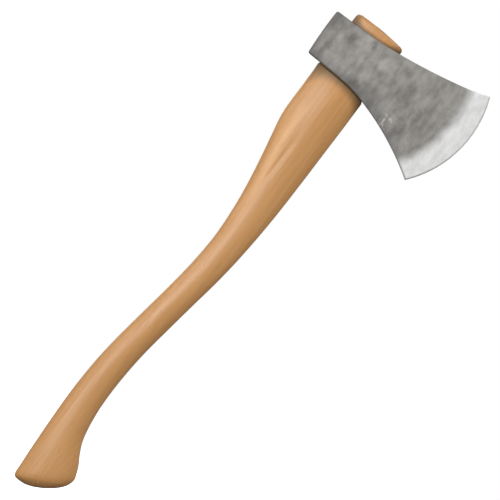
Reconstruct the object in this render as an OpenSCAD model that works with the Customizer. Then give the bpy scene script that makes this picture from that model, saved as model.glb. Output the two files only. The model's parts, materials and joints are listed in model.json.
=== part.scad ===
// Hatchet: a forged head wedged on a curved wooden handle.
// Frame: origin at the grip's centre, +Z up the handle to the head, +X to the cutting edge, Y across.
// The modules below are drawn in the eye's frame, which has its origin on the eye's axis, level with
// the head's underside at the handle's back, and to_grip() moves them to the grip's. Millimetres.

/* [Head] */
// Distance from the eye's axis back to the poll face
poll_x = 38.7; // [37:0.1:41]
// Height of the poll
poll_h = 43; // [42:0.1:45]
// Thickness of the head at the poll face
poll_t = 21; // [18:0.5:23]
// Thickness of the head over the eye
cheek_t = 27; // [25:0.5:30]
// Radius of the cutting edge
edge_r = 97.8; // [96:0.1:100]
// Forward distance from the eye's axis to the centre of the cutting edge's arc
edge_x = 18.9; // [17:0.1:20]
// Height of that centre above the head's underside
edge_z = 26; // [24:0.5:28]
// Width of the ground bevel, measured back from the cutting edge
bevel_w = 19; // [14:0.5:22]
// Thickness of the blade where the bevel starts
bevel_t = 4.6; // [4:0.1:6]

/* [Eye] */
// Length of the eye at the head's underside
eye_len = 48.5; // [47:0.1:49]
// Width of the eye at the head's underside
eye_w = 17.5; // [16:0.1:18.5]
// Growth of each wall of the eye from the underside to 50 mm above it
eye_flare = 0.6; // [0.2:0.1:1]
// Forward lean of the eye's axis, in degrees
eye_tilt = 2; // [0:0.1:2.5]

/* [Handle] */
// Thickness of the neck under the head
neck_t = 23.5; // [22:0.5:25]
// Thickness of the waist, halfway down
waist_t = 20; // [18:0.5:23]
// Thickness of the grip
grip_t = 21.5; // [19:0.5:24]
// Thickness of the flared foot
foot_t = 25; // [22:0.5:28]
// Height of the tongue's top above the head's underside
tongue_top = 53.5; // [50:0.5:56]

/* [Wedges] */
// Width of the kerf at the top of the tongue
kerf_w = 5; // [3:0.1:6]
// Width of the kerf at its bottom
kerf_bottom_w = 1.6; // [1:0.1:2.5]
// Height of the kerf's bottom above the head's underside
kerf_z = 12; // [6:1:20]
// Outer radius of the ring wedge at its top
ring_r = 6.2; // [5:0.1:6.6]
// Wall of the ring wedge at its top
ring_wall = 1.5; // [1:0.1:2]
// Length of the ring wedge
ring_len = 11; // [8:0.5:14]

/* [Hidden] */
$fn = 96;

// Place of the grip's centre in the eye's frame
grip_x = -14;
grip_z = -340;
// More than half the thickness of anything, for cuts across the whole part
wide = 40;
// How far a cut runs past the surface it opens
clear = 2;

// Concave arcs of the head's top and bottom edges: centre x, centre z, radius
top_arc = [-36.2, 610.8, 568.4];
beard_arc = [-41.1, -237.2, 240.7];
// Height of the poll's underside and top
under_z = 0.9;
poll_top = under_z + poll_h;
// Slope of the underside from the poll, and where that straight stretch ends
under_slope = -0.045;
under_end = 4;
// Rounding of the poll's corners
poll_round = 1.6;
// Where the flat parts of the poll's top and underside end
poll_end = 16;
// Start and slope of the toe's rise at the top edge
toe_x = 97;
toe_slope = 0.34;
// Where the blade's outline starts, inside the poll's
blade_from = -6;

// Chamfer of the poll's upright corners
poll_chamfer = 1.5;
// Half thickness of the poll and of the eye's walls, along x
block_line = [[-poll_x, poll_t / 2 - poll_chamfer], [-poll_x + poll_chamfer, poll_t / 2],
    [-20, cheek_t / 2 - 0.6], [-8, cheek_t / 2], [8, cheek_t / 2], [22, cheek_t / 2 - 1.3], [34, 9.2],
    [60, 3.4]];

// Half thickness of the blade against the distance from the centre of the edge's arc
cheek_curve = [[12, 9.6], [22, 8.5], [34, 6.9], [52, 4.8], [edge_r - bevel_w, bevel_t / 2]];
// Half thickness of the bare edge
edge_land = 0.1;

// Radius of the eye's long sides and of its blunt ends
eye_side_r = 71;
eye_end_r = 27;
// Height over which the flare is measured
eye_h = 50;
// Slope of the tongue's top, which falls towards the cutting edge, and where its height is measured
tongue_slope = -0.074;
tongue_top_x = -11;
// Back and front corners of the tongue's top, and the two steps that ease each
tongue_back = -23;
tongue_front = 26.3;
ease = [[0, -3.4], [1, -1.1], [3.2, 0]];
// How far down the tongue is drawn inside the handle's body
tongue_root = 10;

// How far the ring wedge stands proud, where its centre is, and its taper
ring_proud = 0.3;
ring_x = 1.6;
ring_taper = 0.8;

// Handle outline: distance below the head's underside, then x of the back and of the front
back_line = [[-4, -24.9], [20, -24.8], [42, -24.9], [52, -24.5], [62, -23.1], [76, -20.3], [92, -17.2],
    [112, -13.7], [132, -10.9], [152, -9.2], [170, -8.6], [190, -9.5], [212, -11.8], [236, -15.3],
    [262, -19.5], [290, -23.8], [312, -26.4], [334, -27.8], [356, -28.3], [382, -27.7], [410, -26.7],
    [430, -25.5]];
front_line = [[-4, 25.3], [30, 25.2], [60, 24.8], [90, 24.4], [120, 23.7], [145, 22.5], [165, 21],
    [185, 19], [205, 16.3], [230, 12.1], [260, 7.3], [285, 3.5], [305, 1.4], [325, 0.3], [342, 0.3],
    [356, 1.3], [370, 3.3], [380, 5.8], [390, 10.4], [398, 15.1], [408, 19.1]];
thick_line = [[-4, neck_t], [30, neck_t], [60, neck_t - 0.8], [100, waist_t + 1], [150, waist_t],
    [210, waist_t], [280, grip_t], [350, grip_t], [385, (grip_t + foot_t) / 2], [410, foot_t],
    [430, foot_t]];
// Where the rings start to tilt towards the foot's slanted end, and how far down they end
tilt_from = 300;
back_end = 428;
front_end = 408;
// Rings along the handle, points on each, and how square each section is (2 is an ellipse)
rings = 56;
ring_points = 28;
squareness = 2.3;
// Rounding of the foot's end: x and distance below of the back, then of the front, and thickness
foot_lines = [[-24.8, 433.2, 18.7, 412.6, 0.97 * foot_t], [-22.9, 436.4, 16.4, 417.5, 0.89 * foot_t],
    [-18.6, 437.7, 12.4, 422.5, 0.75 * foot_t], [-12.5, 436.9, 7.2, 426.8, 0.53 * foot_t],
    [-5.5, 434.7, 1.6, 430.8, 0.22 * foot_t]];

// Index of the table's row at or before s
function row_at(table, s, i = 0) =
    i >= len(table) - 2 || s < table[i + 1][0] ? i : row_at(table, s, i + 1);
// Slope of the table's curve at row i, from the rows on both sides
function slope_at(table, i) =
    let (a = table[max(i - 1, 0)], b = table[min(i + 1, len(table) - 1)])
    (b[1] - a[1]) / (b[0] - a[0]);
// Value at s on the smooth curve through the table's rows
function curve_at(table, s) =
    let (i = row_at(table, s), a = table[i], b = table[i + 1], h = b[0] - a[0], u = (s - a[0]) / h)
    a[1] * (1 + 2 * u) * pow(1 - u, 2) + slope_at(table, i) * h * u * pow(1 - u, 2)
    + b[1] * u * u * (3 - 2 * u) + slope_at(table, i + 1) * h * u * u * (u - 1);
// Signed power, for the handle's rounded sections
function bent(v, power) = sign(v) * pow(abs(v), power);
// Ring of points in the plane through the back point, the front point and Y
function ring(back, front, thick) =
    let (centre = (back + front) / 2, half = (front - back) / 2, power = 2 / squareness)
    [for (k = [0 : ring_points - 1])
        let (a = 360 * k / ring_points, p = centre + half * bent(cos(a), power))
        [p[0], thick / 2 * bent(sin(a), power), p[1]]];
// Ring number i of the handle, counted from the neck to the foot
function handle_ring(i) =
    let (start = back_line[0][0], s = start + (back_end - start) * i / (rings - 1),
        share = (front_end - tilt_from) / (back_end - tilt_from),
        f = s < tilt_from ? s : tilt_from + (s - tilt_from) * share)
    ring([curve_at(back_line, s), -s], [curve_at(front_line, f), -f], curve_at(thick_line, s));
// Ring that rounds the foot's end
function foot_ring(line) = ring([line[0], -line[1]], [line[2], -line[3]], line[4]);

// Moves from the eye's frame to the grip's
module to_grip() {
    translate([-grip_x, 0, -grip_z]) children();
}

// Extrudes a side outline, drawn in x and z, across the part
module across(width) {
    rotate([90, 0, 0]) linear_extrude(width, center = true) children();
}

// Side outline of the poll and eye block
module poll_outline() {
    low = under_z + under_slope * (poll_x + under_end);
    difference() {
        polygon([[-poll_x, under_z], [under_end, low], [poll_end, low], [poll_end, poll_top],
            [-poll_x, poll_top]]);
        translate([-poll_x, poll_top]) corner_cut(-1);
        translate([-poll_x, under_z]) corner_cut(1);
    }
}

// Square less a circle, to round a corner of the poll: side is 1 at the bottom and -1 at the top
module corner_cut(side) {
    difference() {
        translate([-poll_round, -poll_round]) square(2 * poll_round);
        translate([poll_round, side * poll_round]) circle(poll_round);
    }
}

// Side outline of the blade, up to its cutting edge: a concave top that rises faster at the toe
module blade_outline() {
    arc_z = top_arc[1] - sqrt(pow(top_arc[2], 2) - pow(toe_x - top_arc[0], 2));
    intersection() {
        difference() {
            translate([blade_from, -2 * wide]) square(4 * wide);
            intersection() {
                translate([top_arc[0], top_arc[1]]) circle(top_arc[2], $fn = 360);
                translate([toe_x, arc_z]) polygon([[-3 * wide, -3 * wide * toe_slope],
                    [wide, wide * toe_slope], [wide, 2 * wide], [-3 * wide, 2 * wide]]);
            }
            translate([beard_arc[0], beard_arc[1]]) circle(beard_arc[2], $fn = 360);
        }
        translate([edge_x, edge_z]) circle(edge_r, $fn = 360);
    }
}

// Body of revolution about the edge arc's centre: the cheeks and the ground bevel
module cheeks() {
    side = concat([[0, cheek_curve[0][1]]], cheek_curve, [[edge_r + clear, edge_land / 2]]);
    mirrored = [for (i = [len(side) - 1 : -1 : 0]) [side[i][0], -side[i][1]]];
    translate([edge_x, 0, edge_z]) rotate([90, 0, 0])
        rotate_extrude($fn = 180) polygon(concat(side, mirrored));
}

// Plan outline of the poll and the eye's walls, extruded up
module eye_block() {
    other = [for (i = [len(block_line) - 1 : -1 : 0]) [block_line[i][0], -block_line[i][1]]];
    translate([0, 0, -2 * wide]) linear_extrude(4 * wide) polygon(concat(block_line, other));
}

// The head without its eye
module head_body() {
    intersection() {
        across(2 * wide) union() {
            poll_outline();
            blade_outline();
        }
        union() {
            cheeks();
            eye_block();
        }
    }
}

// Upright cylinder on a flared wall's centre
module flared(x, y, radius, grow_low, grow_high, height) {
    translate([x, y, 0]) cylinder(height, radius + grow_low, radius + grow_high, $fn = 240);
}

// The eye's flared oval, from low to high along its leaning axis
module eye_oval(low, high) {
    grow_low = eye_flare * low / eye_h;
    grow_high = eye_flare * high / eye_h;
    side_y = eye_side_r - eye_w / 2;
    end_x = eye_len / 2 - eye_end_r;
    rotate([0, eye_tilt, 0]) translate([0, 0, low]) intersection() {
        flared(0, -side_y, eye_side_r, grow_low, grow_high, high - low);
        flared(0, side_y, eye_side_r, grow_low, grow_high, high - low);
        flared(-end_x, 0, eye_end_r, grow_low, grow_high, high - low);
        flared(end_x, 0, eye_end_r, grow_low, grow_high, high - low);
    }
}

// The handle's tongue as a solid piece, up through the eye, before it is slit
module tongue() {
    function top_at(x) = tongue_top + tongue_slope * (x - tongue_top_x);
    low = -tongue_root - clear;
    back = [for (e = ease) let (x = tongue_back + e[0]) [x, top_at(x) + e[1]]];
    front = [for (i = [len(ease) - 1 : -1 : 0])
        let (x = tongue_front - ease[i][0]) [x, top_at(x) + ease[i][1]]];
    intersection() {
        eye_oval(-tongue_root, 2 * wide);
        across(2 * wide) polygon(concat([[tongue_back, low]], back, front, [[tongue_front, low]]));
    }
}

// The wedge-shaped slit along the tongue, filled by the wooden wedge
module kerf() {
    top = 2 * wide;
    grow = (kerf_w - kerf_bottom_w) / 2 * (top - kerf_z) / (tongue_top - kerf_z);
    rotate([0, eye_tilt, 0]) rotate([90, 0, 90]) linear_extrude(3 * wide, center = true)
        polygon([[-kerf_bottom_w / 2, kerf_z], [kerf_bottom_w / 2, kerf_z],
            [kerf_bottom_w / 2 + grow, top], [-kerf_bottom_w / 2 - grow, top]]);
}

// The ring wedge's tapered tube, square to the tongue's sloping top
module ring_tube() {
    ring_z = tongue_top + tongue_slope * (ring_x - tongue_top_x);
    translate([ring_x, 0, ring_z]) rotate([0, -atan(tongue_slope), 0])
        translate([0, 0, ring_proud - ring_len]) difference() {
            cylinder(ring_len, ring_r - ring_taper, ring_r);
            translate([0, 0, -clear]) cylinder(ring_len + 2 * clear, r = ring_r - ring_wall);
        }
}

// The handle's round body, from inside the head down to its foot
module handle_body() {
    all = concat([for (i = [0 : rings - 1]) handle_ring(i)], [for (line = foot_lines) foot_ring(line)]);
    count = len(all);
    n = ring_points;
    sides = [for (i = [0 : count - 2]) for (k = [0 : n - 1])
        let (a = i * n + k, b = i * n + (k + 1) % n) each [[a, b, b + n], [a, b + n, a + n]]];
    top = [for (k = [n - 1 : -1 : 0]) k];
    foot = [for (k = [0 : n - 1]) (count - 1) * n + k];
    polyhedron([for (r = all) each r], concat([top], sides, [foot]));
}

module head() {
    color("gray") to_grip() difference() {
        head_body();
        eye_oval(-wide, 2 * wide);
    }
}

module handle() {
    color("burlywood") to_grip() difference() {
        union() {
            difference() {
                handle_body();
                head_body();
            }
            tongue();
        }
        kerf();
        ring_tube();
    }
}

module wooden_wedge() {
    color("tan") to_grip() difference() {
        intersection() {
            kerf();
            tongue();
        }
        ring_tube();
    }
}

module ring_wedge() {
    color("dimgray") to_grip() ring_tube();
}

head();
handle();
wooden_wedge();
ring_wedge();
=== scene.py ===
"""A hatchet: a forged head wedged on a curved wooden handle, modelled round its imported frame.

Shapes are worked out in millimetres in the eye's frame (origin on the eye's axis, level with the head's
underside; x to the cutting edge, z up the handle) and placed in the part's frame in metres.
"""

import json
import math

import bmesh
import bpy
from mathutils import Matrix, Vector, noise


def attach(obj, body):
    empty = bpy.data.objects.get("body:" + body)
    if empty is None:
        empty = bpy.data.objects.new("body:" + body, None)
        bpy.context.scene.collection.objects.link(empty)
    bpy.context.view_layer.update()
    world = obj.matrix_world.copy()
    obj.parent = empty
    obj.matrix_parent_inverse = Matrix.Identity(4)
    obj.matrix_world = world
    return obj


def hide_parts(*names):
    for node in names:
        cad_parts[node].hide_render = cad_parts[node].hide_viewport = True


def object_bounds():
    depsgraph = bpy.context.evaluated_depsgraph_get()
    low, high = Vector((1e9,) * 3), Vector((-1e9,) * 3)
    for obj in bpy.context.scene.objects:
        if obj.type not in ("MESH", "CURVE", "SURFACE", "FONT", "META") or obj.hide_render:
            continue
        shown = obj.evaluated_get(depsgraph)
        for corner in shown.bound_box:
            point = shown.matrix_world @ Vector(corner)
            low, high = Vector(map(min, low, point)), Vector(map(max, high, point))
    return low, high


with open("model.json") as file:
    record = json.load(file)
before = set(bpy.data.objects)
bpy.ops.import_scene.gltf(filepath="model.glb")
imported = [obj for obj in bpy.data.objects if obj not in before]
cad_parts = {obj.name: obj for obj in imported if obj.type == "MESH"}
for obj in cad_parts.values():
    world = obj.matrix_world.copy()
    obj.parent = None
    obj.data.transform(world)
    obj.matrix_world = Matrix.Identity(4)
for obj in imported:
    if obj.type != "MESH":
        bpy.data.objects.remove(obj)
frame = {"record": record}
cad_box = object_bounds()

MM = 0.001

# ---------------------------------------------------------------- driving sizes, in mm

POLL_X = 38.7
UNDER_Z, POLL_TOP = 0.9, 43.9
POLL_CORNER = 2.4
POLL_CROWN = 0.25
EDGE_R = 97.8
EDGE_X, EDGE_Z = 18.9, 26.0
BEVEL_W = 19.0
# Where the ground bevel's polish ends: height above the heel's corner, and distance in from the edge
BEVEL_LIMIT = [(-32, 16.6), (-15, 17.8), (0, 19.2), (17, 20.0), (34, 18.5), (50, 17.6), (62, 17.4)]
HONED_W = 1.3

# Arcs of the head's top and bottom edges: centre x, centre z, radius
TOP_ARC = (-36.2, 610.8, 568.4)
BEARD_ARC = (-41.1, -237.2, 240.7)
UNDER_SLOPE = -0.045
TOE_X, TOE_SLOPE = 97.0, 0.339
# Rounding where the top meets the toe's slope and the poll, the underside the beard, and the eye the cheek
TOE_SOFT, POLL_SOFT, BEARD_SOFT, CHEEK_SOFT = 0.6, 0.3, 2.2, 2.5
# Waviness that the forge leaves on the cheeks: depth, size and seed, and how far from the bevel it sets in
WAVES = [(0.13, 13, 3), (0.05, 5, 7)]
WAVES_IN = 14

# Half thickness of the head: over x for the poll and eye, over the distance from the edge arc's centre
# for the cheeks
BLOCK = [(-38.7, 10.5), (-30, 11.9), (-20, 12.9), (-8, 13.35), (8, 13.35), (22, 12.1), (34, 9.2), (46, 6.3),
         (60, 3.4), (80, 0.5)]
CHEEK = [(0, 9.9), (12, 9.6), (22, 8.5), (34, 6.9), (52, 4.8), (66, 3.5), (EDGE_R - BEVEL_W, 2.3)]
# Half thickness at the edge's honed strip, and at the very edge; the most that any part of the head reaches
HONED_HALF = 0.34
EDGE_HALF = 0.03
HEAD_HALF = 13.48
# Easing of the head's rims at the poll, over the eye, along the blade and along the bevel
POLL_FILLET, EYE_FILLET, BLADE_FILLET, BEVEL_FILLET = 1.5, 1.3, 1.2, 1.0

# The eye's flared, forward-leaning oval
EYE_LEN = 48.5
EYE_W = 17.5
EYE_FLARE = 0.012
EYE_TILT = math.tan(math.radians(2))
EYE_SQUARE = 2.7

# Tongue of the handle: its highest point, and how it falls away from there
TONGUE_TOP = 53.3
TONGUE_TOP_X = -14.0
TONGUE_FALL = -0.0018
# Easing of the tongue's top: how far in from its side, and how far down
TOP_EASE = [(2.7, 0.0), (2.0, 0.1), (1.25, 0.42), (0.6, 1.0), (0.18, 1.9), (0.0, 3.0), (0.0, 4.6)]

# The kerf down the tongue, narrow at its foot, and the wedges
KERF_Z = 12.0
KERF_HALF_LOW, KERF_HALF_TOP = 0.8, 2.5
WEDGE_PROUD = 0.16
RING_X, RING_R, RING_WALL, RING_LEN = 1.6, 6.2, 1.5, 11.0

# Handle outline below the head: distance down, then x of the back and of the front
BACK = [(-4, -24.9), (20, -24.8), (42, -24.9), (52, -24.5), (62, -23.1), (76, -20.3), (92, -17.2),
        (112, -13.7), (132, -10.9), (152, -9.2), (170, -8.6), (190, -9.5), (212, -11.8), (236, -15.3),
        (262, -19.5), (290, -23.8), (312, -26.4), (334, -27.8), (356, -28.3), (382, -27.7), (410, -26.7),
        (430, -25.5)]
FRONT = [(-4, 25.3), (30, 25.2), (60, 24.8), (90, 24.4), (120, 23.7), (145, 22.5), (165, 21), (185, 19),
         (205, 16.3), (230, 12.1), (260, 7.3), (285, 3.5), (305, 1.4), (325, 0.3), (342, 0.3), (356, 1.3),
         (370, 3.3), (380, 5.8), (390, 10.4), (398, 15.1), (408, 19.1)]
# Thickness over the distance down
THICK = [(-4, 22.6), (6, 23.2), (30, 23.5), (60, 22.7), (100, 21), (150, 20), (210, 20), (280, 21.5),
         (350, 21.5), (385, 23.2), (410, 25), (430, 25)]
# Squareness of the handle's oval sections over the distance down: 2 is an ellipse
SQUARE = [(-4, 2.2), (20, 2.08), (90, 2.02), (200, 2.02), (350, 2.05), (430, 2.3)]
# Sections are level down to TILT_FROM, then tilt evenly to the foot's slanted end
TILT_FROM, BACK_END, FRONT_END = 300.0, 428.0, 408.0
# Rounding of the foot's end: x and distance down of the back, then of the front, and share of thickness
FOOT_ROWS = [(-25.6, 431.3, 19.2, 410.8, 0.99), (-25.3, 433.5, 18.7, 413.0, 0.97),
             (-24.8, 435.5, 17.9, 415.3, 0.93), (-23.7, 436.8, 16.5, 417.9, 0.88),
             (-21.7, 437.5, 14.7, 420.3, 0.82), (-18.9, 437.65, 12.5, 422.7, 0.74),
             (-15.9, 437.6, 10.1, 424.9, 0.64), (-12.7, 437.3, 7.4, 427.0, 0.52),
             (-9.2, 436.3, 4.8, 428.9, 0.38), (-5.5, 434.9, 1.8, 431.0, 0.22)]
# The shoulder's shallow crease and the soft ridge behind it: distance down, then depth or height, and x
CREASE_DEPTH = [(52, 0.0), (64, 0.3), (76, 0.56), (86, 0.76), (96, 0.76), (106, 0.55), (122, 0.25),
                (136, 0.0)]
CREASE_X = [(60, -1.4), (72, -1.7), (88, -2.1), (109, -2.6), (136, -3.4)]
CREASE_W = 1.8
RIDGE_HEIGHT = [(30, 0.0), (45, 0.3), (60, 0.7), (80, 1.1), (100, 1.1), (125, 0.75), (150, 0.3), (175, 0.0)]
RIDGE_BACK, RIDGE_W = 11.0, 5.0
# The neck's sides come to a soft ridge: distance down, then height; its place and reach along x
NECK_RIDGE = [(10, 0.0), (22, 0.7), (60, 0.8), (85, 0.45), (115, 0.0)]
NECK_RIDGE_X, NECK_RIDGE_W, NECK_RIDGE_SOFT = 3.0, 15.0, 0.12
# Painted highlight along the ridge: distance down, then how pale, and where across; and its reach
RIDGE_HIGHLIGHT = [(26, 0.0), (46, 0.5), (70, 0.85), (105, 0.8), (130, 0.5), (160, 0.0)]
RIDGE_HIGHLIGHT_X = [(26, -12.5), (62, -12.0), (78, -10.3), (94, -7.8), (110, -5.5), (160, -4.0)]
RIDGE_HIGHLIGHT_W = 4.0
# The swelling just under the head: how far down it goes, and the neck's half length there
SEAT_DOWN = 6.0
NECK_HALF = 25.1

# Mesh steps: round the poll, along the head, up its side, over its rims, and on the wood
POLL_STEPS = 4
CORNER_STEPS = 4
EYE_STEPS = 40
BLADE_STEPS = 30
BLADE_X = 35.0
BEVEL_STEPS = [17.6, 16.2, 14.8, 13.3, 11.8, 10.2, 8.6, 7.0, 5.4, 3.9, 2.5, HONED_W, 0.7, 0.0]
SIDE_ROWS = 38
FILLET_ROWS = 4
# Where the mesh round the eye starts and ends, and half the angle, seen from the eye, of its two ends
CAP_FROM, CAP_TO, CAP_ANGLE = -28, 31, 0.45
HALF_POINTS = 49
HANDLE_STEP = 3.0
# Rings of points that lie on end grain, at the tongue's top and at the foot
TOP_CUT_RINGS, FOOT_CUT_RINGS = 2, 7
# How far a closed ring's two half rows stay from the middle plane
GAP = 0.45
WEDGE_STEPS = 24
RING_POINTS = 72
# Value of a mark on points that it doesn't concern
FAR = 99.0

# The poll face's mount gives the eye frame's place in the part's frame
poll_mount = next(m for m in frame["record"]["mounts"] if m["name"] == "poll_face")
poll_at = poll_mount["pos_m"]
EYE_AT = Vector((poll_at[0] + POLL_X * MM, 0.0, poll_at[2] - (UNDER_Z + POLL_TOP) / 2 * MM))


def place(x, y, z):
    """A point of the eye's frame, in mm, in the part's frame in metres."""
    return EYE_AT + Vector((x, y, z)) * MM


# ---------------------------------------------------------------- curves


def curve_at(table, s):
    """Value at s on the smooth curve through the table's rows."""
    last = len(table) - 1
    s = min(max(s, table[0][0]), table[last][0])
    i = max(k for k in range(last) if table[k][0] <= s)

    def slope(k):
        a, b = table[max(k - 1, 0)], table[min(k + 1, last)]
        return (b[1] - a[1]) / (b[0] - a[0])

    (s0, v0), (s1, v1) = table[i], table[i + 1]
    h = s1 - s0
    u = (s - s0) / h
    return (
        v0 * (1 + 2 * u) * (1 - u) ** 2
        + slope(i) * h * u * (1 - u) ** 2
        + v1 * u * u * (3 - 2 * u)
        + slope(i + 1) * h * u * u * (u - 1)
    )


def mix(a, b, t):
    """The value at share t of the way from a to b."""
    return a + (b - a) * t


def step(low, high, v):
    """0 below low, 1 above high, smooth between."""
    t = min(max((v - low) / (high - low), 0.0), 1.0)
    return t * t * (3 - 2 * t)


def soft_max(a, b, k):
    """The larger of a and b, with the corner between them rounded over k."""
    h = max(k - abs(a - b), 0) / k
    return max(a, b) + h * h * k / 4


def wave(x, y, z, size, seed):
    """Smooth noise from -1 to 1 with features about size mm across."""
    return noise.noise(Vector((x / size + seed, y / size - 2 * seed, z / size + 3 * seed)))


# ---------------------------------------------------------------- mesh helpers


class Shape:
    """Points and faces of one piece, with named numbers on each point."""

    def __init__(self):
        self.points, self.faces, self.marks = [], [], []

    def add(self, x, y, z, **marks):
        self.points.append(place(x, y, z))
        self.marks.append(marks)
        return len(self.points) - 1

    def strip(self, low, high, closed=False):
        """Quads between two rows of points."""
        count = len(low)
        for k in range(count if closed else count - 1):
            n = (k + 1) % count
            face = [low[k], low[n], high[n], high[k]]
            face = [v for i, v in enumerate(face) if v != face[i - 1]]
            if len(face) > 2:
                self.faces.append(face)

    def build(self, name, sharp_deg=40):
        mesh = bpy.data.meshes.new(name)
        mesh.from_pydata([tuple(p) for p in self.points], [], self.faces)
        names = sorted({key for m in self.marks for key in m})
        for key in names:
            layer = mesh.attributes.new(key, "FLOAT", "POINT")
            layer.data.foreach_set("value", [m.get(key, 0.0) for m in self.marks])
        work = bmesh.new()
        work.from_mesh(mesh)
        bmesh.ops.recalc_face_normals(work, faces=work.faces)
        work.to_mesh(mesh)
        work.free()
        mesh.polygons.foreach_set("use_smooth", [True] * len(mesh.polygons))
        mesh.set_sharp_from_angle(angle=math.radians(sharp_deg))
        obj = bpy.data.objects.new(name, mesh)
        bpy.context.scene.collection.objects.link(obj)
        return obj


# ---------------------------------------------------------------- the head's surfaces


def top_z(x):
    """Height of the head's top edge."""
    arc = TOP_ARC[1] - math.sqrt(TOP_ARC[2] ** 2 - (x - TOP_ARC[0]) ** 2)
    toe = TOP_ARC[1] - math.sqrt(TOP_ARC[2] ** 2 - (TOE_X - TOP_ARC[0]) ** 2) + TOE_SLOPE * (x - TOE_X)
    return soft_max(soft_max(arc, toe, TOE_SOFT), POLL_TOP, POLL_SOFT)


def bottom_z(x):
    """Height of the head's bottom edge."""
    line = UNDER_Z + UNDER_SLOPE * (x + POLL_X)
    arc = BEARD_ARC[1] + math.sqrt(BEARD_ARC[2] ** 2 - (x - BEARD_ARC[0]) ** 2)
    return -soft_max(-line, -arc, BEARD_SOFT)


def from_edge(x, z):
    """Distance in from the cutting edge, in mm."""
    return EDGE_R - math.hypot(x - EDGE_X, z - EDGE_Z)


def half_thick(x, z, side):
    """Half thickness of the head at a point of its side outline."""
    inward = from_edge(x, z)
    if inward < BEVEL_W:
        if inward > HONED_W:
            t = (inward - HONED_W) / (BEVEL_W - HONED_W)
            return mix(HONED_HALF, CHEEK[-1][1], t) + 0.10 * math.sin(math.pi * t)
        return mix(EDGE_HALF, HONED_HALF, inward / HONED_W)
    block = curve_at(BLOCK, x) * (1 - 0.012 * ((z - 22) / 22) ** 2)
    y = soft_max(block, curve_at(CHEEK, EDGE_R - inward), CHEEK_SOFT)
    fade = step(BEVEL_W, BEVEL_W + WAVES_IN, inward)
    y += fade * sum(depth * wave(x, side, z, size, seed) for depth, size, seed in WAVES)
    return min(y, HEAD_HALF)


def edge_angle(radius, bound):
    """Angle, seen from the edge arc's centre, at which a circle of that radius crosses the outline."""
    low, high = (0.0, math.radians(75)) if bound is top_z else (math.radians(-75), 0.0)
    for _ in range(40):
        mid = (low + high) / 2
        x = EDGE_X + radius * math.cos(mid)
        z = EDGE_Z + radius * math.sin(mid)
        inside = z < top_z(x) if bound is top_z else z > bottom_z(x)
        if inside == (bound is top_z):
            low = mid
        else:
            high = mid
    return (low + high) / 2


def arc_point(radius, v):
    """Point at share v of the way up an arc about the edge's centre."""
    angle = mix(edge_angle(radius, bottom_z), edge_angle(radius, top_z), v)
    return EDGE_X + radius * math.cos(angle), EDGE_Z + radius * math.sin(angle)


def blade_point(s, v, x_start):
    """Point of the patch between the upright line at x_start and the start of the bevel."""
    radius = EDGE_R - BEVEL_W
    low_x, low_z = arc_point(radius, 0)
    high_x, high_z = arc_point(radius, 1)
    end_x, end_z = arc_point(radius, v)
    bx = mix(x_start, low_x, s)
    tx = mix(x_start, high_x, s)
    start_z = mix(bottom_z(x_start), top_z(x_start), v)
    x = mix(bx, tx, v) + mix(x_start, end_x, s) - mix(x_start, mix(low_x, high_x, v), s)
    z = mix(bottom_z(bx), top_z(tx), v) + mix(start_z, end_z, s)
    z -= mix(mix(bottom_z(x_start), top_z(x_start), v), mix(low_z, high_z, v), s)
    return x, z


def poll_z(rows):
    """Heights on the poll at the given shares of the way up."""
    return [mix(UNDER_Z, POLL_TOP, v) for v in rows]


def poll_face_x(z):
    """x of the poll's face in the middle, slightly crowned."""
    return -POLL_X + 0.05 + 0.35 * ((z - 31) / 17) ** 2


def head_columns(rows):
    """Columns of the head's half outline, from the poll's middle to the cutting edge.

    Each is a list of (x, z, half thickness or None, plan normal x, fillet radius) for each share in rows.
    """
    columns = []
    corner_y = BLOCK[0][1] + 0.35
    flat = corner_y - POLL_CORNER
    for k in range(POLL_STEPS):
        y = flat * k / POLL_STEPS
        crown = POLL_CROWN * (y / flat) ** 2
        columns.append([(poll_face_x(z) + crown, z, y, -1.0, POLL_FILLET) for z in poll_z(rows)])
    for k in range(CORNER_STEPS + 1):
        a = math.pi / 2 * k / CORNER_STEPS
        dx = POLL_CROWN + POLL_CORNER * (1 - math.cos(a))
        y = flat + POLL_CORNER * math.sin(a)
        columns.append([(poll_face_x(z) + dx, z, y, -math.cos(a), POLL_FILLET) for z in poll_z(rows)])
    start = -POLL_X + POLL_CORNER + 1.2
    for k in range(EYE_STEPS + 1):
        x = mix(start, BLADE_X, k / EYE_STEPS)
        columns.append([(x, mix(bottom_z(x), top_z(x), v), None, 0.0, EYE_FILLET) for v in rows])
    for k in range(1, BLADE_STEPS + 1):
        points = [blade_point(k / BLADE_STEPS, v, BLADE_X) for v in rows]
        columns.append([(x, z, None, 0.0, BLADE_FILLET) for x, z in points])
    for inward in BEVEL_STEPS:
        points = [arc_point(EDGE_R - inward, v) for v in rows]
        columns.append([(x, z, None, 0.0, BEVEL_FILLET) for x, z in points])
    return columns


def oval(z, grow, angle):
    """Point of the eye's oval at height z, moved outwards by grow."""
    a = EYE_LEN / 2 + EYE_FLARE * z + grow
    b = EYE_W / 2 + EYE_FLARE * z + grow
    c, s = math.cos(angle), math.sin(angle)
    power = 2 / EYE_SQUARE
    x = EYE_TILT * z + a * math.copysign(abs(c) ** power, c)
    return x, b * math.copysign(abs(s) ** power, s)


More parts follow.
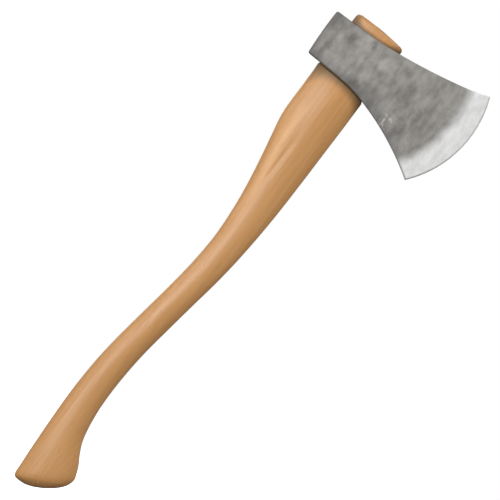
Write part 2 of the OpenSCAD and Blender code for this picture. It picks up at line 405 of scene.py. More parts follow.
def head_loops():
    """The head's outer surface as loops round it, from the bottom's rim to the top's.

    Each loop goes round from the poll's middle along +y to the edge and back along -y.
    """
    rows = [k / SIDE_ROWS for k in range(SIDE_ROWS + 1)]
    columns = head_columns(rows)
    loops = []
    levels = [("low", k) for k in range(FILLET_ROWS, 0, -1)]
    levels += [("side", k) for k in range(SIDE_ROWS + 1)]
    levels += [("high", k) for k in range(1, FILLET_ROWS + 1)]
    for kind, k in levels:
        row = k if kind == "side" else 0 if kind == "low" else SIDE_ROWS
        halves = []
        for side in (1, -1):
            half = []
            for column in columns:
                x, z, y, nx, fillet = column[row]
                z_low, z_high = column[0][1], column[-1][1]
                if y is None:
                    y = half_thick(x, z, side)
                fillet = min(fillet, 0.55 * max(y, 0.02)) if nx == 0 else fillet
                z = z_low + fillet + (z - z_low) * (1 - 2 * fillet / (z_high - z_low))
                if kind != "side":
                    a = math.pi / 2 * k / FILLET_ROWS
                    inset = fillet * (1 - math.cos(a))
                    z += (-1 if kind == "low" else 1) * fillet * math.sin(a)
                    x -= nx * inset
                    y = max(y - inset * math.sqrt(1 - nx * nx), 0.0)
                half.append((x, side * y, z))
            halves.append(half)
        loops.append((halves[0], halves[1]))
    return loops


def make_head():
    """The forged head: its outer surface, both caps round the eye, and the eye's wall."""
    shape = Shape()
    loops = head_loops()
    ids = []
    for right, left in loops:
        first = [shape.add(*p, **head_marks(*p)) for p in right]
        second = [first[0]] + [shape.add(*p, **head_marks(*p)) for p in left[1:]]
        ids.append((first, second))
    rounds = [first + second[:0:-1] for first, second in ids]
    for low, high in zip(rounds, rounds[1:]):
        shape.strip(high, low, closed=True)
    rims = []
    for (first, second), top in ((ids[-1], True), (ids[0], False)):
        rims.append(head_cap(shape, first, second, top))
    eye_wall(shape, rims[1], rims[0])
    return shape.build("forged_head", 50)


def head_marks(x, y, z):
    """Numbers that the steel's material reads.

    They are the distances from the edge, from the rims and from the bottom, and ground, which is BEVEL_W
    where the bevel's polish ends.
    """
    inward = from_edge(x, z) if x > 20 else FAR
    ground = inward + BEVEL_W - curve_at(BEVEL_LIMIT, z)
    low = z - bottom_z(x)
    rim = min(top_z(x) - z, low, x + POLL_X + 0.3 if abs(y) > 8 else 9.0)
    return {"inward": inward, "ground": ground, "rim": max(rim, 0.0), "low": max(low, 0.0)}


def head_cap(shape, first, second, top):
    """Closes the head's top or bottom round the eye.

    Returns the ring of points at the eye's rim, and the angle of each on the eye's oval.
    """
    level = top_z if top else bottom_z
    across = 2 * POLL_STEPS
    # Lines of points across the head, except over the eye
    lines = [first[POLL_STEPS:0:-1] + [first[0]] + second[1 : POLL_STEPS + 1]]
    start = POLL_STEPS
    hole_from = next(j for j in range(start, len(first)) if eye_x(shape, first[j]) > CAP_FROM)
    hole_to = next(j for j in range(start, len(first)) if eye_x(shape, first[j]) > CAP_TO)
    for j in range(start + 1, len(first) - 1):
        a, b = shape.points[first[j]], shape.points[second[j]]
        middle = []
        for k in range(1, across):
            p = (a.lerp(b, k / across) - EYE_AT) / MM
            inside = hole_from < j < hole_to
            if not inside:
                middle.append(shape.add(p.x, p.y, level(p.x), **head_marks(p.x, p.y, level(p.x))))
        lines.append([first[j]] + middle + [second[j]] if middle else None)
    lines.append([first[-1]] * POLL_STEPS + [second[-1]] * (POLL_STEPS + 1))
    for j, (a, b) in enumerate(zip(lines, lines[1:])):
        if a is not None and b is not None:
            shape.strip(*((b, a) if top else (a, b)))
    # The loop that is left open round the eye, and the angle on the oval that each of its points goes to
    back, front = lines[hole_from - start], lines[hole_to - start]
    outer = first[hole_from : hole_to + 1] + front[1:-1]
    outer += second[hole_from : hole_to + 1][::-1] + back[-2:0:-1]
    count = hole_to - hole_from
    turn = math.pi - CAP_ANGLE
    angles = [mix(turn, CAP_ANGLE, k / count) for k in range(count + 1)]
    angles += [mix(CAP_ANGLE, -CAP_ANGLE, k / across) for k in range(1, across)]
    angles += [mix(-CAP_ANGLE, -turn, k / count) for k in range(count + 1)]
    angles += [mix(-turn, -math.pi - CAP_ANGLE, k / across) for k in range(1, across)]
    # Three rings of quads from that loop in to the eye's rim
    ring = outer
    for share in (0.34, 0.67, 1.0):
        inner = []
        for i, angle in zip(outer, angles):
            p = (shape.points[i] - EYE_AT) / MM
            x, y = oval(level(p.x), 0.8, angle)
            x, y = mix(p.x, x, share), mix(p.y, y, share)
            inner.append(shape.add(x, y, level(x), **head_marks(x, y, level(x))))
        shape.strip(*((inner, ring) if top else (ring, inner)), closed=True)
        ring = inner
    return ring, angles


def eye_x(shape, i):
    """A point's x in the eye's frame, in mm."""
    return (shape.points[i].x - EYE_AT.x) / MM


# Rows of the eye's wall: share of its height, and how far the rim is eased there
EYE_ROWS = [(0.004, 0.4), (0.018, 0.0), (0.2, 0.0), (0.4, 0.0), (0.6, 0.0), (0.8, 0.0), (0.982, 0.0),
            (0.996, 0.4)]


def eye_wall(shape, low, high):
    """The eye's wall, with both rims eased."""
    (low_ring, angles), (high_ring, _) = low, high
    ring = low_ring
    for share, ease in EYE_ROWS:
        inner = []
        for i, k, angle in zip(low_ring, high_ring, angles):
            z = mix((shape.points[i].z - EYE_AT.z) / MM, (shape.points[k].z - EYE_AT.z) / MM, share)
            x, y = oval(z, 0.05 + ease * 0.5, angle)
            inner.append(shape.add(x, y, z, inward=FAR, ground=FAR, rim=4.0, low=FAR))
        shape.strip(ring, inner, closed=True)
        ring = inner
    shape.strip(ring, high_ring, closed=True)


# ---------------------------------------------------------------- the handle's surfaces


def tongue_top(x):
    """Height of the tongue's top, level at the back and falling towards the front."""
    return TONGUE_TOP + TONGUE_FALL * (x - TONGUE_TOP_X) ** 2


def kerf_half(z):
    """Half width of the kerf at height z."""
    return mix(KERF_HALF_LOW, KERF_HALF_TOP, (z - KERF_Z) / (TONGUE_TOP - KERF_Z))


def ring_points(back, front, half, square, gap, relief=None):
    """Two half rows of points round an oval section: front to back along +y, then back to front along -y.

    back and front are (x, z). gap is how far the rows' ends stay from the middle plane. relief gives what is
    added to the half thickness at x.
    """
    first = math.asin(min(gap / half, 1.0) ** (square / 2))
    rows = []
    for side in (1, -1):
        row = []
        for k in range(HALF_POINTS):
            angle = mix(first, math.pi - first, k / (HALF_POINTS - 1))
            c, s = math.cos(angle), math.sin(angle)
            share = 0.5 + 0.5 * math.copysign(abs(c) ** (2 / square), c)
            x, z = mix(back[0], front[0], share), mix(back[1], front[1], share)
            y = half * abs(s) ** (2 / square)
            if relief:
                y += relief(x)
            row.append((x, side * y, z))
        rows.append(row)
    return rows[0], rows[1][::-1]


def body_ring(s):
    """Half rows of the handle's body at distance s down its back."""
    share = (FRONT_END - TILT_FROM) / (BACK_END - TILT_FROM)
    f = s if s < TILT_FROM else TILT_FROM + (s - TILT_FROM) * share
    back = (curve_at(BACK, s), -s)
    front = (curve_at(FRONT, f), -f)
    depth = table_or_zero(CREASE_DEPTH, s)
    height = table_or_zero(RIDGE_HEIGHT, s)
    crease = curve_at(CREASE_X, s)
    neck = table_or_zero(NECK_RIDGE, s)

    def relief(x):
        valley = math.exp(-(((x - crease) / CREASE_W) ** 2))
        ridge = math.exp(-(((x - crease + RIDGE_BACK) / RIDGE_W) ** 2))
        fade = step(back[0], back[0] + 4, x)
        away = math.hypot((x - NECK_RIDGE_X) / NECK_RIDGE_W, NECK_RIDGE_SOFT)
        return (height * ridge - depth * valley) * fade + neck * max(1 - away, 0.0)

    return ring_points(back, front, curve_at(THICK, s) / 2, curve_at(SQUARE, s), GAP, relief)


def table_or_zero(table, s):
    """The table's curve, and 0 outside it."""
    return max(curve_at(table, s), 0.0) if table[0][0] < s < table[-1][0] else 0.0


def tongue_size(z, shrink):
    """Half length, half width and middle of the tongue at height z."""
    grow = EYE_FLARE * z - 0.04 - shrink
    return EYE_LEN / 2 + grow, EYE_W / 2 + grow, EYE_TILT * z


def tongue_ring(z, shrink, lift=None):
    """Half rows of the tongue at height z, or lifted to its sloping top."""
    a, b, mid = tongue_size(z, shrink)
    gap = kerf_half(z) if z >= KERF_Z else GAP
    rows = ring_points((mid - a, z), (mid + a, z), b, EYE_SQUARE, gap)
    if lift is None:
        return rows
    return tuple([(x, y, tongue_top(x) - lift) for x, y, _ in row] for row in rows)


def painted_ridge_highlight(x, z):
    """How much paler a point of the wood is painted, as a painted highlight along the ridge behind the
    crease.
    """
    off = (x - curve_at(RIDGE_HIGHLIGHT_X, -z)) / RIDGE_HIGHLIGHT_W
    return table_or_zero(RIDGE_HIGHLIGHT, -z) * math.exp(-off * off)


def handle_rings():
    """Half rows of the whole handle from the tongue's top to the foot, and how many the kerf cuts."""
    # The tongue's eased top, its visible stretch and the part in the eye
    rings = [tongue_ring(TONGUE_TOP - drop, shrink, drop) for shrink, drop in TOP_EASE]
    rings += [tongue_ring(z, 0.0) for z in (45.5, 43, 36, 28, 20, KERF_Z)]
    split = len(rings)
    rings += [tongue_ring(z, 0.0) for z in (10, 6, 3)]
    rings += [seat_ring(t) for t in (0.0, 0.35, 0.7, 1.0)]
    s = SEAT_DOWN + 2.0
    while s < BACK_END - HANDLE_STEP / 2:
        rings.append(body_ring(s))
        s += HANDLE_STEP
    rings.append(body_ring(BACK_END))
    half, square = curve_at(THICK, BACK_END) / 2, SQUARE[-1][1]
    for back_x, back_s, front_x, front_s, part in FOOT_ROWS:
        back, front = (back_x, -back_s), (front_x, -front_s)
        rings.append(ring_points(back, front, half * part, square, GAP * part))
    return rings, split


def kerf_rows(shape, rings, ids):
    """Walls and floor of the kerf. Returns each leaf's inner row of points at the tongue's top."""
    inner = []
    for ring, row in zip(rings, ids):
        lines = []
        for half_ids, half in zip(row, ring):
            line = [half_ids[0]]
            for x, _, z in half[1:-1]:
                line.append(shape.add(x, half[0][1], z, cut=0.0, below=FAR))
            lines.append(line + [half_ids[-1]])
        inner.append(lines)
    for (r0, l0), (r1, l1) in zip(inner, inner[1:]):
        shape.strip(r1, r0)
        shape.strip(l1, l0)
    shape.strip(inner[-1][1][::-1], inner[-1][0])
    return inner[0]


def leaf_top(shape, outer, line):
    """Closes a leaf of the tongue between its outer row and its row along the kerf."""
    previous = outer
    for share in (0.25, 0.5, 0.75):
        row = [outer[0]]
        for k in range(1, HALF_POINTS - 1):
            p = (shape.points[outer[k]].lerp(shape.points[line[k]], share) - EYE_AT) / MM
            row.append(shape.add(p.x, p.y, p.z, cut=1.0, below=FAR))
        row.append(outer[-1])
        shape.strip(row, previous)
        previous = row
    shape.strip(line, previous)


def make_handle():
    """The handle from the tongue's top to the foot, with the kerf open down the tongue."""
    shape = Shape()
    rings, split = handle_rings()
    ids = []
    for n, ring in enumerate(rings):
        cut = handle_cut(n, len(rings))
        ids.append([[shape.add(x, y, z, cut=cut, below=from_head(x, z), worn=painted_ridge_highlight(x, z))
                     for x, y, z in row] for row in ring])
    # Walls: two open half rows above the kerf's floor, and one closed loop below it
    for n, ((r0, l0), (r1, l1)) in enumerate(zip(ids, ids[1:])):
        if n < split - 1:
            shape.strip(r0, r1)
            shape.strip(l0, l1)
        else:
            shape.strip(r0 + l0, r1 + l1, closed=True)
    for outer, line in zip(ids[0], kerf_rows(shape, rings[:split], ids[:split])):
        leaf_top(shape, outer, line)
    # The foot's last ring, closed across
    last_r, last_l = ids[-1]
    shape.strip(last_r, last_l[::-1])
    return shape.build("wood_handle", 50)


def from_head(x, z):
    """Distance of a point of the wood from where it leaves the head, above or below.

    It grows more slowly towards the back and front, so that the painted shade drawn from it reaches further
    there.
    """
    if z < 0.5:
        extra = mix(1.5, 0.45, step(-10.0, 10.0, x)) * min(abs(x) / 22, 1.1) ** 3
        return max(bottom_z(x) - z, 0.0) / (1 + extra)
    ends = max(1 - step(-22.0, -8.0, x), 0.6 * step(13.0, 23.0, x))
    return abs(z - top_z(x)) * mix(2.8, 0.45, ends)


def seat_ring(t):
    """Rings that swell from the tongue to the neck just under the head, following its underside."""
    half = mix(EYE_W / 2, curve_at(THICK, 0) / 2, step(0, 0.7, t))
    a = mix(EYE_LEN / 2, NECK_HALF, step(0, 0.7, t))
    rows = ring_points((-a, 0), (a, 0), half, mix(EYE_SQUARE, 2.35, t), GAP)
    drop = mix(0.25, 2.0, t)
    return tuple([(x, y, bottom_z(x) - drop) for x, y, _ in row] for row in rows)


def handle_cut(n, count):
    """1 on the rings that lie on end grain, else 0."""
    return 1.0 if n < TOP_CUT_RINGS or n >= count - FOOT_CUT_RINGS else 0.0


# ---------------------------------------------------------------- the wedges


def wedge_loop(z, shrink, drop, slim):
    """Points round the wedge, whose ends lie in the tongue's outline, from the front along +y and back."""
    a, b, mid = tongue_size(z, shrink)
    half = kerf_half(z) - slim
    reach = a * (1 - (half / b) ** EYE_SQUARE) ** (1 / EYE_SQUARE)
    loop = []
    for side in (1, -1):
        loop.append((mid + side * a, 0.0))
        for k in range(WEDGE_STEPS + 1):
            loop.append((mid + side * mix(reach, -reach, k / WEDGE_STEPS), side * half))
    return [(x, y, z if drop is None else tongue_top(x) - drop) for x, y in loop]


def make_wooden_wedge():
    """The wedge that fills the kerf and stands a little proud of the tongue."""
    shape = Shape()
    loops = [wedge_loop(z, 0.0, None, 0.04) for z in (KERF_Z + 0.5, 20, 28, 36, 43, 46)]
    loops += [wedge_loop(TONGUE_TOP - drop, shrink, drop, 0.04) for shrink, drop in TOP_EASE[::-1][1:]]
    loops.append(wedge_loop(TONGUE_TOP, 2.9, -WEDGE_PROUD * 0.8, 0.1))
    loops.append(wedge_loop(TONGUE_TOP, 3.1, -WEDGE_PROUD, 0.3))
    rows = []
    for n, loop in enumerate(loops):
        cut = 1.0 if n > len(loops) - 4 else 0.0
        rows.append([shape.add(*p, cut=cut, below=FAR) for p in loop])
    for low, high in zip(rows, rows[1:]):
        shape.strip(low, high, closed=True)
    half = len(rows[0]) // 2
    for row, top in ((rows[0], False), (rows[-1], True)):
        # Both sides run from the front end to the back end
        right = row[: half + 1]
        left = [row[0]] + row[:half:-1] + [row[half]]
        shape.strip(*((left, right) if top else (right, left)))
    return shape.build("hardwood_wedge", 40)


def make_ring_wedge():
    """The ring driven square to the tongue's top: a turned profile, thinner towards its lower end."""
    shape = Shape()
    slope = 2 * TONGUE_FALL * (RING_X - TONGUE_TOP_X)
    tilt = Matrix.Rotation(math.atan(-slope), 3, "Y")
    centre = Vector((RING_X, 0.0, tongue_top(RING_X)))
    inner = RING_R - RING_WALL
    profile = [(inner + 0.05, -RING_LEN), (inner, -RING_LEN * 0.5), (inner, 0.05), (inner + 0.18, 0.26),
               (RING_R - 0.3, 0.26), (RING_R - 0.03, 0.05), (RING_R - 0.35, -RING_LEN * 0.5),
               (RING_R - 0.8, -RING_LEN)]
    rings = []
    for radius, z in profile:
        ring = []
        for k in range(RING_POINTS):
            a = 2 * math.pi * k / RING_POINTS
            p = centre + tilt @ Vector((radius * math.cos(a), radius * math.sin(a), z))
            ring.append(shape.add(*p))
        rings.append(ring)
    for low, high in zip(rings, rings[1:] + rings[:1]):
        shape.strip(low, high, closed=True)
    return shape.build("steel_ring_wedge", 35)


# ---------------------------------------------------------------- materials


class Nodes:
    """Short calls that add and join shader nodes."""

    def __init__(self, name):
        self.material = bpy.data.materials.new(name)
        self.material.use_nodes = True
        self.tree = self.material.node_tree
        self.tree.nodes.clear()
        self.out = self.tree.nodes.new("ShaderNodeOutputMaterial")
        self.shader = self.tree.nodes.new("ShaderNodeBsdfPrincipled")
        self.tree.links.new(self.shader.outputs[0], self.out.inputs[0])

    def node(self, kind, **inputs):
        made = self.tree.nodes.new(kind)
        for key, value in inputs.items():
            self.feed(made.inputs[key.replace("_", " ")], value)
        return made

    def feed(self, socket, value):
        if hasattr(value, "links"):
            self.tree.links.new(value, socket)
        else:
            socket.default_value = value

    def math(self, operation, a, b=0.0, clamp=False):
        made = self.tree.nodes.new("ShaderNodeMath")
        made.operation = operation
        made.use_clamp = clamp
        self.feed(made.inputs[0], a)
        self.feed(made.inputs[1], b)
        return made.outputs[0]

    def vector(self, operation, a, b):
        made = self.tree.nodes.new("ShaderNodeVectorMath")
        made.operation = operation
        self.feed(made.inputs[0], a)
        self.feed(made.inputs[1], b)
        return made.outputs[0]

    def length(self, a):
        made = self.tree.nodes.new("ShaderNodeVectorMath")
        made.operation = "LENGTH"
        self.feed(made.inputs[0], a)
        return made.outputs["Value"]

    def ramp(self, value, low, high, to_low=0.0, to_high=1.0):
        made = self.tree.nodes.new("ShaderNodeMapRange")
        made.interpolation_type = "SMOOTHSTEP"
        for socket, v in zip(made.inputs, (value, low, high, to_low, to_high)):
            self.feed(socket, v)
        return made.outputs[0]

    def blend(self, share, a, b, kind="MIX"):
        made = self.tree.nodes.new("ShaderNodeMix")
        made.data_type = "RGBA"
        made.blend_type = kind
        self.feed(made.inputs[0], share)
        self.feed(made.inputs[6], a)
        self.feed(made.inputs[7], b)
        return made.outputs[2]

    def where(self, scale, offset=(0, 0, 0)):
        """The part's own coordinates, in mm, scaled on each axis."""
        coord = self.tree.nodes.new("ShaderNodeTexCoord")
        mapping = self.tree.nodes.new("ShaderNodeMapping")
        mapping.inputs["Location"].default_value = offset
        mapping.inputs["Scale"].default_value = [v / MM for v in scale]
        self.tree.links.new(coord.outputs["Object"], mapping.inputs["Vector"])
        return mapping.outputs[0]

    def split(self, vector, axis):
        made = self.node("ShaderNodeSeparateXYZ", Vector=vector)
        return made.outputs[axis]

    def noise(self, vector, detail=4.0, rough=0.55, distortion=0.0):
        made = self.tree.nodes.new("ShaderNodeTexNoise")
        self.feed(made.inputs["Vector"], vector)
        made.inputs["Scale"].default_value = 1.0
        made.inputs["Detail"].default_value = detail
        made.inputs["Roughness"].default_value = rough
        made.inputs["Distortion"].default_value = distortion
        return made.outputs[0]

    def mark(self, name):
        made = self.tree.nodes.new("ShaderNodeAttribute")
        made.attribute_name = name
        return made.outputs["Fac"]

    def bump(self, height, strength, distance, normal=None):
        made = self.tree.nodes.new("ShaderNodeBump")
        made.inputs["Strength"].default_value = strength
        made.inputs["Distance"].default_value = distance * MM
        self.feed(made.inputs["Height"], height)
        if normal is not None:
            self.feed(made.inputs["Normal"], normal)
        return made.outputs[0]


def rgb(r, g, b):
    """A colour given as 0-255 screen values, as linear numbers with alpha."""
    def linear(v):
        v /= 255
        return v / 12.92 if v <= 0.04045 else ((v + 0.055) / 1.055) ** 2.4
    return (linear(r), linear(g), linear(b), 1.0)


# The rubbed spot on the cheek: its x and z, and one over its half width and half height
SCUFF_AT, SCUFF_SCALE = (51.0, -6.5), (0.13, 0, 0.1)
SCUFF_OFFSET = (-(EYE_AT.x / MM + SCUFF_AT[0]) * SCUFF_SCALE[0], 0,
                -(EYE_AT.z / MM + SCUFF_AT[1]) * SCUFF_SCALE[2])


def scuffs(n):
    """Noise that breaks up the rubbed spot."""
    return n.noise(n.where((0.45, 0.1, 0.3), (5, 5, 5)), 3, 0.6)


# Marks of the forge on the cheeks: x, z, half width, half height, and how much lighter or darker
FORGE_MARKS = [(6, 3, 10, 6, -0.36), (-33, 4, 8, 7, -0.3), (-28, 13, 4, 11, -0.3), (-33, 37, 9, 9, -0.34),
               (-15, 31, 11, 9, -0.3), (5, 40, 4, 7, -0.42), (42, 38, 7, 5, -0.14), (62, -5, 6, 10, -0.36),
               (72, 11, 4, 13, -0.24), (54, 27, 4, 14, -0.06), (22, 30, 15, 9, 0.48), (30, 12, 9, 10, 0.22),
               (48, 6, 9, 8, 0.26), (38, 45, 16, 5, 0.2), (68, 24, 7, 10, 0.26), (54, 38, 5, 8, 0.1)]


def forge_marks(n):
    """Sum of the forge's marks at a point, with outlines bent by noise."""
    here = n.where((1, 1, 1), (-EYE_AT.x / MM, 0, -EYE_AT.z / MM))
    cloud = n.where((0.12, 0.12, 0.12), (4, 4, 4))
    bend = n.node("ShaderNodeTexNoise", Vector=cloud, Scale=1.0, Detail=3.0).outputs["Color"]
    bend = n.vector("MULTIPLY", n.vector("SUBTRACT", bend, (0.5, 0.5, 0.5)), (14, 14, 14))
    here = n.vector("ADD", here, bend)
    total = 0.0
    for x, z, half_x, half_z, change in FORGE_MARKS:
        off = n.vector("MULTIPLY", n.vector("SUBTRACT", here, (x, 0, z)), (1 / half_x, 0, 1 / half_z))
        share = n.ramp(n.length(off), 0.1, 1.15, change, 0.0)
        total = n.math("ADD", share, total)
    return total


def forged_steel():
    """Mottled grey forge scale with a bright ground bevel and a honed edge, and painted shade along the rims,
    towards the bottom and along the edge.
    """
    n = Nodes("forged_steel")
    # Cloudy forge scale: broad patches, streaks up the head, mottling, and a fine tooth
    patches = n.noise(n.where((0.05, 0.05, 0.04), (3, 1, 2)), 2, 0.5)
    streaks = n.noise(n.where((0.17, 0.17, 0.055), (5, 5, 1)), 3, 0.5)
    blotches = n.noise(n.where((0.19, 0.19, 0.15), (7, 2, 5)), 3, 0.45)
    tooth = n.noise(n.where((0.8, 0.8, 0.8)), 3, 0.55)
    tone = n.math("ADD", n.math("MULTIPLY", patches, 0.24), n.math("MULTIPLY", blotches, 0.22))
    tone = n.math("ADD", tone, n.math("MULTIPLY", streaks, 0.3))
    tone = n.math("ADD", tone, n.math("MULTIPLY", tooth, 0.06))
    tone = n.ramp(tone, 0.17, 0.65)
    tone = n.math("ADD", tone, forge_marks(n), clamp=True)
    colour = n.blend(tone, rgb(112, 109, 105), rgb(184, 181, 176))
    # Darker on the poll, which is hammered, and rubbed lighter just in front of the eye
    along = n.split(n.where((1, 1, 1), (-EYE_AT.x / MM, 0, 0)), 0)
    poll = n.ramp(along, -POLL_X, 8.0, 0.46, 0.0)
    colour = n.blend(poll, colour, rgb(96, 93, 90))
    # Painted shade: darker along the rims, and more so towards the bottom
    rim = n.ramp(n.mark("rim"), 0.0, 3.0, 0.12, 0.0)
    colour = n.blend(rim, colour, rgb(104, 101, 97))
    low = n.ramp(n.mark("low"), 0.0, 13.0, 0.34, 0.0)
    colour = n.blend(low, colour, rgb(90, 88, 87))
    # The ground bevel, polished brightest towards the edge, with a wandering limit
    wander = n.math("SUBTRACT", n.noise(n.where((0.1, 0.1, 0.1), (1, 8, 3)), 3, 0.6), 0.5)
    wander = n.math("MULTIPLY", wander, 6.0)
    ground = n.math("ADD", n.mark("ground"), wander)
    bevel = n.ramp(ground, BEVEL_W - 6.5, BEVEL_W + 6.0, 1.0, 0.0)
    strokes = n.noise(n.where((0.3, 0.3, 0.12), (2, 2, 2)), 4, 0.65)
    bright = n.blend(n.ramp(strokes, 0.3, 0.7), rgb(236, 236, 233), rgb(254, 254, 254))
    # Painted shade: the bevel darkened along its bottom edge
    bright = n.blend(n.ramp(n.mark("low"), 0.5, 2.4, 0.8, 0.0), bright, rgb(132, 128, 125))
    colour = n.blend(bevel, colour, bright)
    # Painted shade: a darker line along the honed strip, standing in for the shade of its steeper facet,
    # fainter towards the top
    honed = n.ramp(n.mark("inward"), HONED_W * 0.5, HONED_W * 1.2, 1.0, 0.0)
    height = n.split(n.where((1, 1, 1), (0, 0, -EYE_AT.z / MM)), 2)
    honed = n.math("MULTIPLY", honed, n.ramp(height, -30.0, 25.0, 1.0, 0.55))
    colour = n.blend(honed, colour, rgb(168, 167, 164))
    # A rubbed spot low on one cheek, in front of the handle
    spot = n.length(n.where(SCUFF_SCALE, SCUFF_OFFSET))
    scuff = n.math("MULTIPLY", n.ramp(spot, 0.3, 1.0, 1.0, 0.0), n.ramp(scuffs(n), 0.5, 0.62))
    near = n.math("LESS_THAN", n.split(n.where((1, 1, 1)), 1), 0.0)
    colour = n.blend(n.math("MULTIPLY", scuff, near), colour, rgb(202, 200, 196))
    n.feed(n.shader.inputs["Base Color"], colour)
    n.shader.inputs["Metallic"].default_value = 0.35
    rough = n.math("SUBTRACT", n.ramp(tone, 0.0, 1.0, 0.62, 0.52), n.math("MULTIPLY", bevel, 0.12))
    n.feed(n.shader.inputs["Roughness"], rough)
    hammered = n.bump(blotches, 0.15, 0.4)
    n.feed(n.shader.inputs["Normal"], n.bump(tooth, 0.15, 0.1, hammered))
    return n.material


def ring_steel():
    """Plain turned steel, dulled by weather, with faint marks of the hammer that drove it."""
    n = Nodes("ring_steel")
    dull = n.noise(n.where((0.5, 0.5, 0.5), (2, 6, 2)), 3, 0.6)
    dents = n.noise(n.where((1.3, 1.3, 1.3), (8, 3, 1)), 2, 0.5)
    tone = n.math("ADD", n.math("MULTIPLY", dull, 0.7), n.math("MULTIPLY", dents, 0.3))
    colour = n.blend(n.ramp(tone, 0.36, 0.64), rgb(128, 122, 116), rgb(192, 189, 185))
    n.feed(n.shader.inputs["Base Color"], colour)
    n.shader.inputs["Metallic"].default_value = 0.5
    n.feed(n.shader.inputs["Roughness"], n.ramp(tone, 0.3, 0.7, 0.6, 0.42))
    n.feed(n.shader.inputs["Normal"], n.bump(dents, 0.3, 0.2))
    return n.material


def oiled_wood(name, light, dark, pore_share=0.35):
    """Straight-grained wood with fine pores along z, darker end grain, and painted shade where it meets the
    head.
    """
    n = Nodes(name)
    # Growth rings about an axis well behind the handle, bent a little by slow noise
    drift = n.noise(n.where((0.02, 0.02, 0.004), (4, 4, 4)), 2, 0.5)
    flat = n.where((0.045, 0.11, 0.0012), (1.3, 0.4, 0.0))
    rings = n.tree.nodes.new("ShaderNodeTexWave")
    rings.wave_type = "RINGS"
    rings.rings_direction = "Z"
    rings.inputs["Scale"].default_value = 2.2
    rings.inputs["Distortion"].default_value = 2.5
    rings.inputs["Detail"].default_value = 2.0
    rings.inputs["Detail Scale"].default_value = 0.8
    n.feed(rings.inputs["Vector"], flat)
    fibre = n.noise(n.where((0.34, 0.34, 0.01)), 5, 0.55)
    fine = n.noise(n.where((1.9, 1.9, 0.03)), 2, 0.5)
    tone = n.math("ADD", n.math("MULTIPLY", rings.outputs["Fac"], 0.08), n.math("MULTIPLY", fibre, 0.76))
    tone = n.math("ADD", tone, n.math("MULTIPLY", fine, 0.16))
    tone = n.math("ADD", tone, n.math("MULTIPLY", n.math("SUBTRACT", drift, 0.5), 0.4))
    colour = n.blend(n.ramp(tone, 0.1, 0.9), light, dark)
    # Paler along the ridge behind the crease: a painted highlight
    colour = n.blend(n.math("MULTIPLY", n.mark("worn"), 0.55), colour, rgb(236, 180, 118))
    pores = n.ramp(fine, 0.6, 0.74, 0.0, pore_share)
    colour = n.blend(pores, colour, dark, "MULTIPLY")
    cut = n.mark("cut")
    pits = n.noise(n.where((1.1, 1.1, 0.1), (6, 1, 0)), 3, 0.6)
    cut_share = n.math("MULTIPLY", cut, n.ramp(pits, 0.42, 0.62, 0.15, 0.75))
    colour = n.blend(cut_share, colour, n.blend(0.45, dark, (0.02, 0.01, 0.005, 1)))
    # Painted shade where the wood meets the head, under its overhang and at the tongue's ends
    painted_shade = n.ramp(n.mark("below"), 0.0, 10.0, 1.0, 0.0)
    colour = n.blend(painted_shade, colour, (0.30, 0.36, 0.43, 1.0), "MULTIPLY")
    n.feed(n.shader.inputs["Base Color"], colour)
    n.feed(n.shader.inputs["Roughness"], n.ramp(tone, 0.2, 0.8, 0.42, 0.52))
    # Worn smooth by hands, but left dull near the head and on cut ends
    polish = n.ramp(n.mark("below"), 2.0, 16.0, 0.03, 0.4)
    n.feed(n.shader.inputs["Coat Weight"], n.math("MULTIPLY", polish, n.ramp(cut, 0.0, 1.0, 1.0, 0.2)))
    n.shader.inputs["Coat Roughness"].default_value = 0.42
    n.feed(n.shader.inputs["Normal"], n.bump(fibre, 0.08, 0.12))
    return n.material


# ---------------------------------------------------------------- pieces

steel = forged_steel()
plain_steel = ring_steel()
wood = oiled_wood("handle_wood", rgb(210, 156, 95), rgb(194, 138, 80))
wedge_wood = oiled_wood("wedge_wood", rgb(190, 140, 92), rgb(140, 94, 56))

head = make_head()
handle = make_handle()
wedge = make_wooden_wedge()
ring = make_ring_wedge()
for piece, material, node, slot in (
    (head, steel, "head", "forged_steel"),
    (handle, wood, "handle", "handle_wood"),
    (wedge, wedge_wood, "wooden_wedge", "wedge_wood"),
    (ring, plain_steel, "ring_wedge", "ring_steel"),
):
    piece.data.materials.append(material)
    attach(piece, "root")
    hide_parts(node)


# ---------------------------------------------------------------- floor, light and camera


FLOOR_HALF = 6.0
WORLD_LIGHT = 0.2
# Softboxes: degrees left of the viewer, degrees above, diameter in metres, power, seen in reflections
LIGHTS = [
    ("key", 28, 7, 1.1, 23, True),
    ("side", 74, 8, 1.0, 8, True),
    ("top", -50, 68, 1.2, 9, True),
    ("fill", -32, 2, 1.4, 6, False),
    ("back_left", 150, 25, 1.4, 17, True),
    ("back_right", -125, 20, 1.4, 12, False),
]
LIGHT_DISTANCE = 1.9
# The camera's aim in the eye's frame in mm, its roll, its lens and the width in metres that it sees
VIEW_AT = (22.85, 0.0, -163.5)
VIEW_ROLL = math.radians(36.5)
VIEW_LENS, SENSOR = 1000, 36
VIEW_SPAN = 0.425


def make_stage():
    """A plain white floor under the part."""
    low = cad_box[0].z
    mesh = bpy.data.meshes.new("floor")
    corners = [(-1, -1), (1, -1), (1, 1), (-1, 1)]
    mesh.from_pydata([(x * FLOOR_HALF, y * FLOOR_HALF, low) for x, y in corners], [], [(0, 1, 2, 3)])
    floor = bpy.data.objects.new("floor", mesh)
    bpy.context.scene.collection.objects.link(floor)
    n = Nodes("floor")
    n.shader.inputs["Base Color"].default_value = (0.9, 0.9, 0.9, 1)
    n.shader.inputs["Roughness"].default_value = 1.0
    n.shader.inputs["Specular IOR Level"].default_value = 0.0
    n.shader.inputs["Emission Color"].default_value = (1, 1, 1, 1)
    n.shader.inputs["Emission Strength"].default_value = 1.0
    mesh.materials.append(n.material)
    # Bright to the eye only, so that it doesn't light the underside of the head
    floor.visible_diffuse = floor.visible_glossy = False


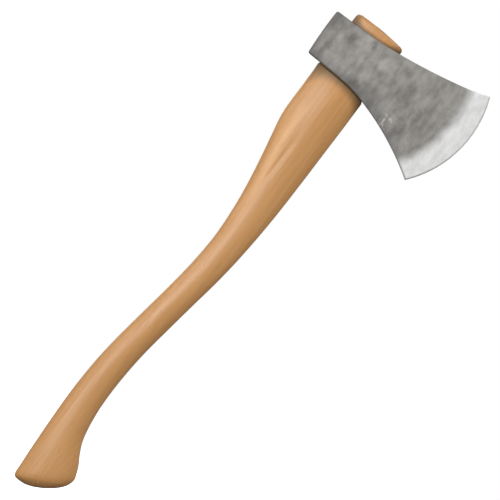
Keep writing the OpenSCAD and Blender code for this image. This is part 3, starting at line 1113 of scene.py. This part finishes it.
def make_light(name, position, target, size, power):
    """A round softbox aimed at the target."""
    data = bpy.data.lights.new(name, "AREA")
    data.shape = "DISK"
    data.size = size
    data.energy = power
    lamp = bpy.data.objects.new(name, data)
    lamp.visible_camera = False
    lamp.location = position
    lamp.rotation_mode = "QUATERNION"
    lamp.rotation_quaternion = (Vector(target) - Vector(position)).to_track_quat("-Z", "Y")
    bpy.context.scene.collection.objects.link(lamp)
    return lamp


def make_world():
    """White to the camera, and a faint even light on everything else."""
    world = bpy.data.worlds.new("studio")
    bpy.context.scene.world = world
    world.use_nodes = True
    tree = world.node_tree
    tree.nodes.clear()
    out = tree.nodes.new("ShaderNodeOutputWorld")
    seen = tree.nodes.new("ShaderNodeBackground")
    seen.inputs["Strength"].default_value = 1.0
    seen.inputs["Color"].default_value = (1, 1, 1, 1)
    light = tree.nodes.new("ShaderNodeBackground")
    light.inputs["Color"].default_value = (1, 1, 1, 1)
    light.inputs["Strength"].default_value = WORLD_LIGHT
    path = tree.nodes.new("ShaderNodeLightPath")
    join = tree.nodes.new("ShaderNodeMixShader")
    tree.links.new(path.outputs["Is Camera Ray"], join.inputs[0])
    tree.links.new(light.outputs[0], join.inputs[1])
    tree.links.new(seen.outputs[0], join.inputs[2])
    tree.links.new(join.outputs[0], out.inputs[0])


def make_camera():
    """Looks along +Y at the near cheek through a long lens, rolled so that the head is at the upper right."""
    centre = place(*VIEW_AT)
    data = bpy.data.cameras.new("camera")
    data.sensor_width = SENSOR
    data.lens = VIEW_LENS
    distance = VIEW_SPAN * VIEW_LENS / SENSOR
    camera = bpy.data.objects.new("camera", data)
    camera.rotation_mode = "QUATERNION"
    camera.location = centre + Vector((0, -distance, 0))
    look = Vector((0, 1, 0)).to_track_quat("-Z", "Y")
    camera.rotation_quaternion = look @ Matrix.Rotation(VIEW_ROLL, 3, "Z").to_quaternion()
    data.clip_start, data.clip_end = 0.05, 50
    bpy.context.scene.collection.objects.link(camera)
    bpy.context.scene.camera = camera


def make_lights():
    """The softboxes, all at one distance from the part's middle."""
    middle = (cad_box[0] + cad_box[1]) / 2
    for name, left, up, size, power, mirrored in LIGHTS:
        a, e = math.radians(left), math.radians(up)
        away = Vector((-math.sin(a) * math.cos(e), -math.cos(a) * math.cos(e), math.sin(e)))
        lamp = make_light(name, middle + away * LIGHT_DISTANCE, middle, size, power)
        lamp.visible_glossy = mirrored


make_stage()
make_world()
make_lights()
make_camera()

scene = bpy.context.scene
scene.view_settings.view_transform = "Standard"
scene.view_settings.look = "None"
